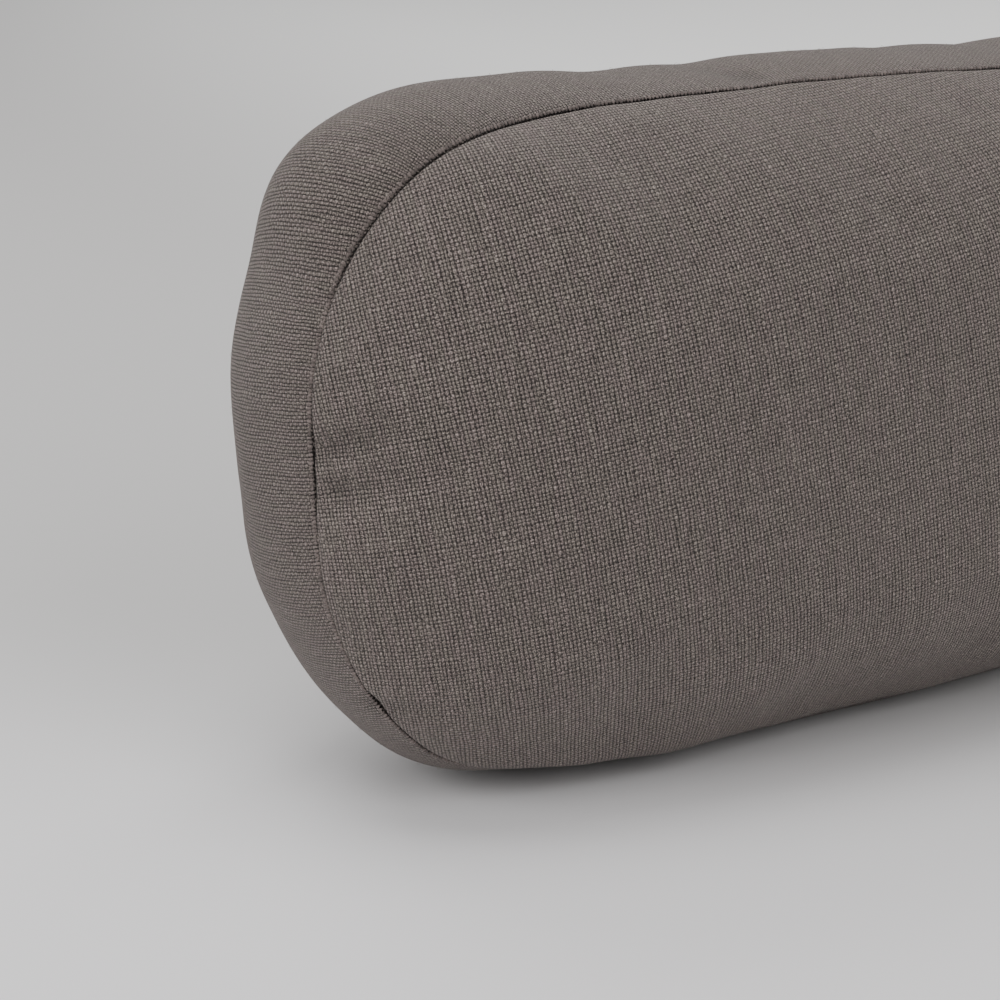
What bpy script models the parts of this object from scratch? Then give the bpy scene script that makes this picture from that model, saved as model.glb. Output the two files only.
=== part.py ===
"""Pram pillow: a boxed, filled linen pillow that stands on its long lower edge.

A front and a back panel are sewn to a boxing band, and the filling crowns both panels. The cover
and its filling are one closed solid, shaped ring by ring: from the middle of the front panel out
to its seam, across the band to the back seam, and in to the middle of the back panel.
The front panel faces -Y, the pillow is long in X, and the floor is Z = 0. Sizes are in metres.
"""

import math
from collections import namedtuple

import bpy
import numpy as np

# Outline of the panels, measured at the seams
HALF_LENGTH = 0.155
HALF_HEIGHT = 0.0873
WAIST = 0.0937  # height of the outline's middle above the floor
UPPER_POWER = 3.4  # superellipse power of the upper half: 2 is an ellipse, more is squarer
LOWER_POWER = 3.6

# Depth, from front to back
BAND_WIDTH = 0.0466  # between the two seams
BAND_ROUNDING = 0.6
CROWN = 0.0395  # rise of each panel's middle above its seam
CROWN_FLATNESS = 3.5
CROWN_EDGE = 0.72
CROWN_LIFT = 0.001  # how far the crown's peak lies above the waist
LEAN = math.radians(3.0)  # the pillow settles back a little on its lower edge

# Mesh: rings of points around the Y axis
SEGMENTS = 120
PANEL_RINGS = 12
BAND_RINGS = 11
RINGS = 2 * PANEL_RINGS + BAND_RINGS

# How the filling strays from the plain outline, down the left half from the top (turn 90)
# by the left end (180) to the base (270). The right half mirrors it.
# seam_out: seam beyond the outline; bulge: band's middle beyond its seams;
# forward: front seam ahead of its plane.
Section = namedtuple("Section", "turn seam_out bulge forward")
SECTIONS = (
    Section(turn=90, seam_out=-0.0012, bulge=0.0032, forward=-0.0006),
    Section(turn=112, seam_out=0.0004, bulge=0.0073, forward=-0.0011),
    Section(turn=130, seam_out=0.0025, bulge=0.0124, forward=0.0019),
    Section(turn=145, seam_out=0.0000, bulge=0.0155, forward=0.0003),
    Section(turn=162, seam_out=-0.0003, bulge=0.0083, forward=-0.0011),
    Section(turn=180, seam_out=0.0017, bulge=0.0066, forward=-0.0011),
    Section(turn=198, seam_out=-0.0011, bulge=0.0050, forward=0.0005),
    Section(turn=215, seam_out=-0.0007, bulge=0.0060, forward=0.0020),
    Section(turn=232, seam_out=0.0020, bulge=0.0055, forward=-0.0015),
    Section(turn=250, seam_out=-0.0004, bulge=0.0095, forward=0.0011),
    Section(turn=270, seam_out=0.0000, bulge=0.0110, forward=-0.0006),
)

# Puckers: places where the front seam draws its panel in.
Pucker = namedtuple("Pucker", "turn spread depth reach")
PUCKERS = (
    Pucker(turn=186, spread=5.0, depth=0.0022, reach=0.30),  # at the left end's waist
    Pucker(turn=214, spread=4.0, depth=0.0018, reach=0.22),  # low on the left end
    Pucker(turn=104, spread=4.0, depth=0.0012, reach=0.15),  # along the top
)

LINEN = (0.122, 0.102, 0.095, 1.0)
LINEN_ROUGHNESS = 0.9


def strayed(turn, column):
    """One column of SECTIONS at each turn in degrees, as a smooth curve through the rows."""
    left = np.where(np.cos(np.radians(turn)) > 0, 180.0 - turn, turn) % 360.0
    knots = np.array([row.turn for row in SECTIONS], float)
    values = np.array([getattr(row, column) for row in SECTIONS])
    # Mirrored neighbours beyond both ends make the curve level at the top and the base.
    knots = np.concatenate([[2 * knots[0] - knots[1]], knots, [2 * knots[-1] - knots[-2]]])
    values = np.concatenate([[values[1]], values, [values[-2]]])
    slopes = np.gradient(values, knots)
    row = np.clip(np.searchsorted(knots, left) - 1, 0, len(knots) - 2)
    step = knots[row + 1] - knots[row]
    s = (left - knots[row]) / step
    return (
        values[row] * (1 + 2 * s) * (1 - s) ** 2
        + slopes[row] * step * s * (1 - s) ** 2
        + values[row + 1] * s**2 * (3 - 2 * s)
        + slopes[row + 1] * step * s**2 * (s - 1)
    )


def outline(turn, reach=1.0):
    """X and height above the waist at each turn, and the outward normal there.

    At reach 1 this is the seam. Nearer the panel's middle the outline rounds to an ellipse.
    """
    angle = np.radians(turn)
    power = np.where(np.sin(angle) >= 0, UPPER_POWER, LOWER_POWER)
    power = 2.0 + (power - 2.0) * reach**2
    x = HALF_LENGTH * np.sign(np.cos(angle)) * np.abs(np.cos(angle)) ** (2 / power)
    z = HALF_HEIGHT * np.sign(np.sin(angle)) * np.abs(np.sin(angle)) ** (2 / power)
    normal_x = np.sign(x) * np.abs(x / HALF_LENGTH) ** (power - 1) / HALF_LENGTH
    normal_z = np.sign(z) * np.abs(z / HALF_HEIGHT) ** (power - 1) / HALF_HEIGHT
    length = np.hypot(normal_x, normal_z)
    normal_x, normal_z = normal_x / length, normal_z / length
    out = strayed(turn, "seam_out") * reach**3
    return reach * x + out * normal_x, reach * z + out * normal_z, normal_x, normal_z


def even_turns(share):
    """The turns that divide the seam into equal lengths, for shares of the way round."""
    fine = np.linspace(0.0, 360.0, 3601)
    x, z, _, _ = outline(fine)
    run = np.concatenate([[0.0], np.cumsum(np.hypot(np.diff(x), np.diff(z)))])
    return np.interp(share * run[-1], run, fine)


def pucker_depth(turn, inward):
    """How far the puckers draw the front panel in, a share `inward` of the way to its middle."""
    depth = np.zeros_like(turn)
    for pucker in PUCKERS:
        across = np.exp(-(((turn - pucker.turn) / pucker.spread) ** 2))
        along = np.exp(-inward / pucker.reach) * (1 - np.exp(-inward / 0.02))
        depth += pucker.depth * across * along
    return depth


def panel_point(turn, reach, side):
    """Points of a panel, at a share `reach` of the way from its middle to the seam."""
    x, z, _, _ = outline(turn, reach)
    rise = CROWN * (1 - reach**CROWN_FLATNESS) ** CROWN_EDGE
    y = side * (BAND_WIDTH / 2 + rise)
    if side < 0:
        y = y - reach**3 * strayed(turn, "forward") + pucker_depth(turn, 1 - reach)
    return x, y, WAIST + z + CROWN_LIFT * (1 - reach)


def band_point(turn, across):
    """Points of the band, `across` from -1 at the front seam to 1 at the back seam."""
    x, z, normal_x, normal_z = outline(turn)
    bulge = strayed(turn, "bulge") * (1 - across**2) ** BAND_ROUNDING
    y = across * BAND_WIDTH / 2 - strayed(turn, "forward") * (1 - across) / 2
    return x + bulge * normal_x, y, WAIST + z + bulge * normal_z


def ring_points(ring, turn):
    """The points of one ring, counted from the middle of the front panel to the back's."""
    if ring <= PANEL_RINGS:
        reach = math.sin(0.5 * math.pi * ring / PANEL_RINGS)
        return panel_point(turn, reach, -1)
    if ring >= RINGS - PANEL_RINGS:
        reach = math.sin(0.5 * math.pi * (RINGS - ring) / PANEL_RINGS)
        return panel_point(turn, reach, 1)
    return band_point(turn, 2 * (ring - PANEL_RINGS) / BAND_RINGS - 1)


def filled_shape(sphere):
    """Reshapes a unit sphere, whose pole +Z becomes the middle of the front panel."""
    share = (np.arctan2(sphere[:, 1], sphere[:, 0]) / math.tau) % 1.0
    rings = np.rint(np.arccos(np.clip(sphere[:, 2], -1, 1)) / math.pi * RINGS).astype(int)
    turn = even_turns(share)
    points = np.zeros_like(sphere)
    for ring in range(RINGS + 1):
        here = rings == ring
        points[here] = np.stack(np.broadcast_arrays(*ring_points(ring, turn[here])), axis=1)
    return points


def lean_back(points):
    """Turns the points about the X axis, the top away from the front."""
    x, y, z = points.T
    return np.stack(
        [x, y * math.cos(LEAN) + z * math.sin(LEAN), z * math.cos(LEAN) - y * math.sin(LEAN)],
        axis=1,
    )


def rest_on_floor(points):
    """Presses what lies below the floor flat on it, and centres the pillow over the origin."""
    points = points.copy()
    points[:, 2] = np.maximum(points[:, 2], 0.0)
    points[:, :2] -= (points[:, :2].min(axis=0) + points[:, :2].max(axis=0)) / 2
    return points


def linen_material():
    material = bpy.data.materials.new("linen")
    material.use_nodes = True
    shader = material.node_tree.nodes["Principled BSDF"]
    shader.inputs["Base Color"].default_value = LINEN
    shader.inputs["Roughness"].default_value = LINEN_ROUGHNESS
    shader.inputs["Metallic"].default_value = 0.0
    return material


for leftover in list(bpy.data.objects):
    bpy.data.objects.remove(leftover, do_unlink=True)

bpy.ops.mesh.primitive_uv_sphere_add(segments=SEGMENTS, ring_count=RINGS, radius=1.0)
pillow = bpy.context.object
pillow.name = "pillow"
pillow.data.name = "pillow"

coordinates = np.empty(len(pillow.data.vertices) * 3)
pillow.data.vertices.foreach_get("co", coordinates)
shape = rest_on_floor(lean_back(filled_shape(coordinates.reshape(-1, 3))))
pillow.data.vertices.foreach_set("co", shape.ravel())
pillow.data.update()
pillow.data.shade_smooth()
pillow.data.materials.append(linen_material())

pram_pillow = bpy.data.collections.new("pram_pillow")
bpy.context.scene.collection.children.link(pram_pillow)
for collection in list(pillow.users_collection):
    collection.objects.unlink(pillow)
pram_pillow.objects.link(pillow)
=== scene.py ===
"""Looks of the pram pillow: a sewn cover of taupe linen over a soft filling, in a plain studio.

The pillow is long in X, its front panel faces -Y, and it stands on its long edge on the floor at
Z = 0. Sizes are in metres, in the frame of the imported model.
"""

import math
from collections import namedtuple

import bmesh
import bpy
import numpy as np
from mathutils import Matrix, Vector, kdtree, noise


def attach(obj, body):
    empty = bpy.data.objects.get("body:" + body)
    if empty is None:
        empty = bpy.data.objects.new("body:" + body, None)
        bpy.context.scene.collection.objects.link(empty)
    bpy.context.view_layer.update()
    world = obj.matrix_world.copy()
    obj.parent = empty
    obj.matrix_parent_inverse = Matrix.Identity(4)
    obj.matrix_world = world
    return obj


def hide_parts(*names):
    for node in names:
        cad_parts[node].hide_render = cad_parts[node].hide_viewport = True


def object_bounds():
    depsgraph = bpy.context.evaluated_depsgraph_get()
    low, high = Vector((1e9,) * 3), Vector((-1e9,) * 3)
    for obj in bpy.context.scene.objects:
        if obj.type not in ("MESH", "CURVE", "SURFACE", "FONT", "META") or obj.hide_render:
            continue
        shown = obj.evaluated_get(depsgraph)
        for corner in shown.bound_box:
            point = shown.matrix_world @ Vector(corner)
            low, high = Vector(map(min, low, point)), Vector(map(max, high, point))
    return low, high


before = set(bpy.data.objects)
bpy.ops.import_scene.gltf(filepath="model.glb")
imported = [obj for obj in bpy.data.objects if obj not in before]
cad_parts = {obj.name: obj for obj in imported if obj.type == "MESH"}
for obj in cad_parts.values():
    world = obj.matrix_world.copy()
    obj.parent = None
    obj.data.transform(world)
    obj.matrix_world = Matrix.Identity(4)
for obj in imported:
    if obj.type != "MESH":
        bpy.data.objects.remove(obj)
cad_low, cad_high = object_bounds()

# ---------------------------------------------------------------------------------------------
# Camera. It stands off the pillow's left end and a little above it, and looks at the left half
# of the front panel, so that the right end runs out of view.

AZIMUTH = math.radians(-28.45)
ELEVATION = math.radians(18.6)
DISTANCE = 0.595
FOCAL_LENGTH = 81.9
AIM = Vector((-0.0965, -0.0048, 0.0763))


def placed(name, data):
    """An object with this data in the scene, at the origin."""
    made = bpy.data.objects.new(name, data)
    bpy.context.scene.collection.objects.link(made)
    return made


camera = placed("camera", bpy.data.cameras.new("camera"))
towards_camera = Vector((
    math.sin(AZIMUTH) * math.cos(ELEVATION),
    -math.cos(AZIMUTH) * math.cos(ELEVATION),
    math.sin(ELEVATION),
))
camera.location = AIM + DISTANCE * towards_camera
camera.rotation_euler = towards_camera.to_track_quat("Z", "Y").to_euler()
camera.data.sensor_width = 36.0
camera.data.lens = FOCAL_LENGTH
bpy.context.scene.camera = camera

# ---------------------------------------------------------------------------------------------
# The cover. Two equal panels and a boxing band of taupe linen, joined by two plain seams and
# filled firmly, so the panels crown and the band rounds out. The seams pull in a sharp line, and
# the edge that the pillow stands on is pressed flat.

HALF_LENGTH = 0.155
HALF_HEIGHT = 0.0873
WAIST = 0.0937
UPPER_POWER = 3.4
LOWER_POWER = 3.6
BAND_WIDTH = 0.0466
BAND_ROUNDING = 0.75
CROWN = 0.0375
CROWN_FLATNESS = 3.5
CROWN_EDGE = 0.72
CROWN_LIFT = 0.001
LEAN = math.radians(3.0)

# How the filling strays from the plain outline, down the left half from the top (turn 90) by
# the left end (180) to the base (270). The right half mirrors it.
Section = namedtuple("Section", "turn seam_out bulge forward")
SECTIONS = (
    Section(turn=90, seam_out=-0.0012, bulge=0.0032, forward=-0.0006),
    Section(turn=112, seam_out=0.0004, bulge=0.0076, forward=-0.0011),
    Section(turn=130, seam_out=0.0025, bulge=0.0124, forward=0.0019),
    Section(turn=145, seam_out=0.0000, bulge=0.0168, forward=0.0003),
    Section(turn=162, seam_out=-0.0003, bulge=0.0087, forward=-0.0011),
    Section(turn=180, seam_out=0.0017, bulge=0.0075, forward=-0.0011),
    Section(turn=198, seam_out=-0.0006, bulge=0.0049, forward=0.0005),
    Section(turn=215, seam_out=0.0000, bulge=0.0048, forward=0.0020),
    Section(turn=232, seam_out=0.0034, bulge=0.0063, forward=-0.0015),
    Section(turn=250, seam_out=0.0004, bulge=0.0075, forward=0.0011),
    Section(turn=270, seam_out=0.0012, bulge=0.0082, forward=-0.0006),
)

# How the front seam lies, all the way round: how hard it is pulled in, and how far the panel
# rolls out over it, where the filling has sunk.
Stretch = namedtuple("Stretch", "turn pull roll", defaults=(0.0,))
STRETCHES = (
    Stretch(turn=0, pull=0.6),
    Stretch(turn=60, pull=0.8),
    Stretch(turn=88, pull=1.0),
    Stretch(turn=112, pull=0.9),
    Stretch(turn=124, pull=0.7),
    Stretch(turn=150, pull=0.6),
    Stretch(turn=160, pull=0.45),
    Stretch(turn=165, pull=0.05),
    Stretch(turn=173, pull=0.15),
    Stretch(turn=176, pull=0.2),
    Stretch(turn=178, pull=0.6),
    Stretch(turn=180, pull=0.6),
    Stretch(turn=181, pull=0.3),
    Stretch(turn=182, pull=0.1),
    Stretch(turn=198, pull=0.1),
    Stretch(turn=206, pull=0.8),
    Stretch(turn=212, pull=0.75),
    Stretch(turn=226, pull=0.4, roll=0.0002),
    Stretch(turn=236, pull=0.1, roll=0.0026),
    Stretch(turn=247, pull=0.0, roll=0.0041),
    Stretch(turn=257, pull=0.0, roll=0.0037),
    Stretch(turn=266, pull=0.0, roll=0.0014),
    Stretch(turn=273, pull=0.0, roll=0.0013),
    Stretch(turn=279, pull=0.1, roll=0.0006),
    Stretch(turn=290, pull=0.2),
    Stretch(turn=330, pull=0.6),
    Stretch(turn=360, pull=0.6),
)


def read_off(rows, column, turn):
    """One column of a table at each turn, in straight lines from row to row."""
    return np.interp(turn, [row.turn for row in rows], [getattr(row, column) for row in rows])


def strayed(turn, column):
    """One column of SECTIONS at each turn in degrees, as a smooth curve through the rows."""
    left = np.where(np.cos(np.radians(turn)) > 0, 180.0 - turn, turn) % 360.0
    knots = np.array([row.turn for row in SECTIONS], float)
    values = np.array([getattr(row, column) for row in SECTIONS])
    knots = np.concatenate([[2 * knots[0] - knots[1]], knots, [2 * knots[-1] - knots[-2]]])
    values = np.concatenate([[values[1]], values, [values[-2]]])
    slopes = np.gradient(values, knots)
    row = np.clip(np.searchsorted(knots, left) - 1, 0, len(knots) - 2)
    step = knots[row + 1] - knots[row]
    s = (left - knots[row]) / step
    return (
        values[row] * (1 + 2 * s) * (1 - s) ** 2
        + slopes[row] * step * s * (1 - s) ** 2
        + values[row + 1] * s**2 * (3 - 2 * s)
        + slopes[row + 1] * step * s**2 * (s - 1)
    )


def outline(turn, reach=1.0):
    """X and height above the waist at each turn, and the outward normal there.

    At reach 1 this is the seam. Nearer the panel's middle the outline rounds to an ellipse.
    """
    angle = np.radians(turn)
    power = np.where(np.sin(angle) >= 0, UPPER_POWER, LOWER_POWER)
    power = 2.0 + (power - 2.0) * reach**2
    x = HALF_LENGTH * np.sign(np.cos(angle)) * np.abs(np.cos(angle)) ** (2 / power)
    z = HALF_HEIGHT * np.sign(np.sin(angle)) * np.abs(np.sin(angle)) ** (2 / power)
    normal_x = np.sign(x) * np.abs(x / HALF_LENGTH) ** (power - 1) / HALF_LENGTH
    normal_z = np.sign(z) * np.abs(z / HALF_HEIGHT) ** (power - 1) / HALF_HEIGHT
    length = np.hypot(normal_x, normal_z)
    normal_x, normal_z = normal_x / length, normal_z / length
    out = strayed(turn, "seam_out") * reach**3
    return reach * x + out * normal_x, reach * z + out * normal_z, normal_x, normal_z


def even_turns(share):
    """The turns that divide the seam into equal lengths, for shares of the way round."""
    fine = np.linspace(0.0, 360.0, 3601)
    x, z, _, _ = outline(fine)
    run = np.concatenate([[0.0], np.cumsum(np.hypot(np.diff(x), np.diff(z)))])
    return np.interp(share * run[-1], run, fine)


def crown_rise(reach):
    return CROWN * (1 - np.minimum(reach, 1.0) ** CROWN_FLATNESS) ** CROWN_EDGE


def panel_ring(turn, reach, side):
    """One ring of a panel, at a share `reach` of the way from its middle to the seam."""
    x, z, _, _ = outline(turn, reach)
    y = np.full_like(x, side * (BAND_WIDTH / 2 + crown_rise(reach)))
    if side < 0:
        y = y - reach**3 * strayed(turn, "forward")
    return np.stack([x, y, WAIST + z + CROWN_LIFT * (1 - reach)], axis=1)


def band_ring(turn, across):
    """One ring of the band, `across` from -1 at the front seam to 1 at the back seam."""
    x, z, normal_x, normal_z = outline(turn)
    bulge = strayed(turn, "bulge") * (1 - across**2) ** BAND_ROUNDING
    y = across * BAND_WIDTH / 2 - strayed(turn, "forward") * (1 - across) / 2
    return np.stack([x + bulge * normal_x, y, WAIST + z + bulge * normal_z], axis=1)


FRONT_PANEL, BAND, BACK_PANEL = 0, 1, 2

# The mesh is closer beside the seams, where the cloth turns in.
SEGMENTS = 224
SIDE_SEGMENTS = 44  # of SEGMENTS, those along each end of the patch inside a panel's rings
SEAM_STEPS = (0.00016, 0.00036, 0.00064, 0.0011, 0.0018, 0.0030)
CLOTH_STEP = 0.0042
PATCH_REACH = 0.52
TYPICAL_BULGE = 0.008


def steps_to(length):
    """Distances from a seam out to `length`: fine in the seam's groove, then even."""
    count = max(1, round((length - SEAM_STEPS[-1]) / CLOTH_STEP))
    return np.concatenate([SEAM_STEPS, np.linspace(SEAM_STEPS[-1], length, count + 1)[1:]])


def panel_reaches():
    """The rings of a panel from the seam in, as reaches and as distances from the seam."""
    fine = 1 - np.linspace(0.0, 1.0, 4001) ** 2
    arc = np.cumsum(np.hypot(np.diff(fine) * HALF_HEIGHT, np.diff(crown_rise(fine))))
    arc = np.concatenate([[0.0], arc])
    distances = steps_to(float(np.interp(-PATCH_REACH, -fine, arc)))
    return np.interp(distances, arc, fine), distances


def band_rows():
    """The rings of the band from front to back, as places across and as seam distances."""
    fine = np.cos(np.linspace(math.pi, math.pi / 2, 2001))
    out = TYPICAL_BULGE * (1 - fine**2) ** BAND_ROUNDING
    arc = np.cumsum(np.hypot(np.diff(fine) * BAND_WIDTH / 2, np.diff(out)))
    arc = np.concatenate([[0.0], arc])
    distances = steps_to(float(arc[-1]))
    across = np.interp(distances, arc, fine)
    return (
        np.concatenate([across, -across[-2::-1]]),
        np.concatenate([distances, distances[-2::-1]]),
    )


def reach_of(x, z):
    """The reach of points inside a panel, found by halving."""
    low = np.zeros_like(x)
    high = np.ones_like(x)
    for _ in range(40):
        middle = (low + high) / 2
        power = np.where(z >= 0, UPPER_POWER, LOWER_POWER)
        power = 2.0 + (power - 2.0) * middle**2
        size = np.abs(x / HALF_LENGTH) ** power + np.abs(z / HALF_HEIGHT) ** power
        outside = size > middle**power
        low = np.where(outside, middle, low)
        high = np.where(outside, high, middle)
    return high


def lean_back(points):
    """Turns the points about the X axis, the top away from the front."""
    x, y, z = points.T
    return np.stack(
        [x, y * math.cos(LEAN) + z * math.sin(LEAN), z * math.cos(LEAN) - y * math.sin(LEAN)],
        axis=1,
    )


def cover_mesh():
    """The closed cover, with its pieces of cloth and each point's turn and seam distance.

    The distance is from the nearest seam, along the cloth, and below zero on the band.
    """
    turn = even_turns(np.arange(SEGMENTS) / SEGMENTS)
    reaches, panel_distances = panel_reaches()
    acrosses, band_distances = band_rows()
    rings = [panel_ring(turn, reach, -1) for reach in reaches[::-1]]
    rings += [panel_ring(turn, 1.0, -1)]
    rings += [band_ring(turn, across) for across in acrosses]
    rings += [panel_ring(turn, 1.0, 1)]
    rings += [panel_ring(turn, reach, 1) for reach in reaches]
    distance = np.concatenate(
        [panel_distances[::-1], [0.0], -band_distances, [0.0], panel_distances]
    )
    front_seam = len(reaches)
    back_seam = front_seam + len(acrosses) + 1

    mesh = bmesh.new()
    seam_distance = mesh.verts.layers.float.new("seam_distance")
    own_turn = mesh.verts.layers.float.new("turn")
    cloth_piece = mesh.faces.layers.int.new("cloth_piece")
    rows = []
    for ring, away in zip(rings, distance):
        rows.append([mesh.verts.new(point) for point in ring])
        for vert, degrees in zip(rows[-1], turn):
            vert[seam_distance] = away
            vert[own_turn] = degrees
    for number, (inner, outer) in enumerate(zip(rows, rows[1:])):
        for k in range(SEGMENTS):
            after = (k + 1) % SEGMENTS
            face = mesh.faces.new((inner[k], outer[k], outer[after], inner[after]))
            if number < front_seam:
                face[cloth_piece] = FRONT_PANEL
            elif number < back_seam:
                face[cloth_piece] = BAND
            else:
                face[cloth_piece] = BACK_PANEL
    fill_patch(mesh, rows[0], -1, FRONT_PANEL)
    fill_patch(mesh, rows[-1], 1, BACK_PANEL)
    for number in (front_seam, back_seam):
        for k in range(SEGMENTS):
            mesh.edges.get((rows[number][k], rows[number][(k + 1) % SEGMENTS])).seam = True
    for inner, outer in zip(rows[front_seam:back_seam], rows[front_seam + 1:back_seam + 1]):
        mesh.edges.get((inner[0], outer[0])).seam = True
    mesh.faces.ensure_lookup_table()
    bmesh.ops.recalc_face_normals(mesh, faces=mesh.faces)
    return mesh


def fill_patch(mesh, row, side, piece):
    """Closes a panel's innermost ring with an even grid, lifted to the crown."""
    half = SIDE_SEGMENTS // 2
    top = row[half:SEGMENTS // 2 - half + 1]
    base = row[SEGMENTS // 2 + half:SEGMENTS - half + 1]
    edges = [mesh.edges.get(pair) for line in (top, base) for pair in zip(line, line[1:])]
    known = set(mesh.verts)
    made = bmesh.ops.grid_fill(mesh, edges=edges)["faces"]
    inside = [vert for vert in mesh.verts if vert not in known]
    x = np.array([vert.co.x for vert in inside])
    z = np.array([vert.co.z for vert in inside]) - WAIST
    reach = reach_of(x, z)
    for vert, rise in zip(inside, crown_rise(reach)):
        vert.co.y = side * (BAND_WIDTH / 2 + rise)
        vert[mesh.verts.layers.float["seam_distance"]] = HALF_HEIGHT
    for face in made:
        face[mesh.faces.layers.int["cloth_piece"]] = piece


def points_of(mesh):
    flat = np.empty(len(mesh.vertices) * 3)
    mesh.vertices.foreach_get("co", flat)
    return flat.reshape(-1, 3)


def normals_of(mesh):
    flat = np.empty(len(mesh.vertices) * 3)
    mesh.vertex_normals.foreach_get("vector", flat)
    return flat.reshape(-1, 3)


def values_of(mesh, name):
    """A number kept on each point, or on each face, under this name."""
    return np.array([item.value for item in mesh.attributes[name].data])


def keep_values(mesh, name, values):
    mesh.attributes.new(name, "FLOAT", "POINT").data.foreach_set("value", values)


def put_points(mesh, points):
    mesh.vertices.foreach_set("co", points.ravel())
    mesh.update()


built = cover_mesh()
cover = placed("pillow_cover", bpy.data.meshes.new("pillow_cover"))
built.to_mesh(cover.data)
built.free()
put_points(cover.data, lean_back(points_of(cover.data)))

# The filling is put under pressure as a cloth, held fast at the seams and the base, and its
# swelling is passed on to the cover.
FILLING_VOXEL = 0.005
FILLING_INSET = 0.0025
FILLING_FRAMES = 20
FILLING_CAP = 0.0025
SEWN_REACH = 0.004
FILLING_REACH = 0.007
FELT_REACH = 2.2 * FILLING_REACH  # past this, a place no longer counts
FILLING_CLOTH = {
    "quality": 6,
    "mass": 0.25,
    "tension_stiffness": 12,
    "compression_stiffness": 12,
    "shear_stiffness": 4,
    "bending_stiffness": 0.6,
    "use_pressure": True,
    "uniform_pressure_force": 4,
    "shrink_min": -0.015,
    "vertex_group_mass": "sewn",
}


def tree_of(places):
    """The places, ready to be searched by distance."""
    tree = kdtree.KDTree(len(places))
    for number, place in enumerate(places):
        tree.insert(place, number)
    tree.balance()
    return tree


def swelling(cover):
    """Places on the filling, a little inside the cover, and how far each one swells."""
    points, normals = points_of(cover.data), normals_of(cover.data)
    filling = placed("filling", cover.data.copy())
    put_points(filling.data, points - FILLING_INSET * normals)
    remesh = filling.modifiers.new("remesh", "REMESH")
    remesh.mode = "VOXEL"
    remesh.voxel_size = FILLING_VOXEL
    graph = bpy.context.evaluated_depsgraph_get()
    remeshed = bpy.data.meshes.new_from_object(filling.evaluated_get(graph))
    filling.modifiers.clear()
    filling.data = remeshed
    seams = tree_of(points[values_of(cover.data, "seam_distance") == 0])
    sewn = filling.vertex_groups.new(name="sewn")
    for vert in remeshed.vertices:
        near = seams.find(vert.co)[2] < SEWN_REACH
        pressed = vert.co.z < FILLING_INSET + FILLING_VOXEL
        if near or pressed:
            sewn.add([vert.index], 1.0, "REPLACE")
    cloth = filling.modifiers.new("cloth", "CLOTH")
    for name, value in FILLING_CLOTH.items():
        setattr(cloth.settings, name, value)
    cloth.settings.effector_weights.gravity = 0
    before = points_of(filling.data)
    scene = bpy.context.scene
    for number in range(1, FILLING_FRAMES + 1):
        scene.frame_set(number)
    graph = bpy.context.evaluated_depsgraph_get()
    after = points_of(filling.evaluated_get(graph).data)
    scene.frame_set(1)
    moved = after - before
    length = np.linalg.norm(moved, axis=1, keepdims=True)
    moved *= np.minimum(1.0, FILLING_CAP / np.maximum(length, 1e-9))
    bpy.data.objects.remove(filling)
    return before, moved


def passed_on(points, places, moved):
    """The move at each point: a soft average over the places near it."""
    tree = tree_of(places)
    result = np.zeros_like(points)
    for number, point in enumerate(points):
        found = tree.find_range(point, FELT_REACH)
        weights = np.exp(-((np.array([near[2] for near in found]) / FILLING_REACH) ** 2))
        result[number] = weights @ moved[[near[1] for near in found]] / weights.sum()
    return result


places, moved = swelling(cover)
points = points_of(cover.data)
inset = points - FILLING_INSET * normals_of(cover.data)
put_points(cover.data, points + passed_on(inset, places, moved))

# Creases: troughs, or ridges where the depth is negative, that run from beside a seam into the
# cloth and fade out. Hollows: soft dents, or lumps where the depth is negative.
Crease = namedtuple("Crease", "start end width depth")
CREASES = (
    Crease((-0.1535, -0.0240, 0.1045), (-0.1400, -0.0405, 0.1130), 0.0033, 0.0014),
    Crease((-0.1520, -0.0262, 0.1002), (-0.1380, -0.0412, 0.1075), 0.0030, -0.0003),
    Crease((-0.1528, -0.0265, 0.0940), (-0.1230, -0.0490, 0.1068), 0.0036, 0.0010),
    Crease((-0.1535, -0.0268, 0.0870), (-0.1330, -0.0445, 0.0970), 0.0045, -0.0004),
    Crease((-0.1445, -0.0270, 0.0430), (-0.1330, -0.0395, 0.0460), 0.0034, -0.0006),
    Crease((-0.1440, -0.0270, 0.0380), (-0.1280, -0.0405, 0.0370), 0.0034, 0.0009),
    Crease((-0.0290, -0.0120, 0.1820), (-0.0400, 0.0080, 0.1835), 0.0050, 0.0008),
)
Hollow = namedtuple("Hollow", "centre reach depth")
HOLLOWS = (
    Hollow((-0.004, 0.0005, 0.183), (0.026, 0.024, 0.020), -0.0014),
    Hollow((-0.024, 0.0045, 0.183), (0.010, 0.024, 0.020), -0.0006),
    Hollow((0.028, 0.0045, 0.184), (0.013, 0.024, 0.020), -0.0014),
    Hollow((0.068, 0.0045, 0.185), (0.018, 0.030, 0.020), 0.0010),
    Hollow((-0.064, 0.0080, 0.182), (0.014, 0.024, 0.020), 0.0008),
    Hollow((-0.157, -0.0055, 0.152), (0.020, 0.030, 0.010), 0.0003),
    Hollow((-0.162, -0.0015, 0.122), (0.020, 0.030, 0.014), -0.0005),
    Hollow((-0.160, -0.0095, 0.080), (0.020, 0.020, 0.010), 0.0006),
    Hollow((-0.115, -0.0455, 0.060), (0.030, 0.030, 0.014), 0.0005),
    Hollow((-0.120, -0.0455, 0.150), (0.020, 0.030, 0.020), -0.0005),
)
CREASE_FADE = 0.7
ROLL_REACH = 0.0075
SEAM_DEPTH = 0.0011
SEAM_WIDTH = 0.00032
BACK_PULL = 0.6
PULL_STRAY = 0.45
PULL_STRAY_SIZE = 0.006
UNEVEN_DEPTH = 0.0003
UNEVEN_SIZE = 0.030
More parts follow.
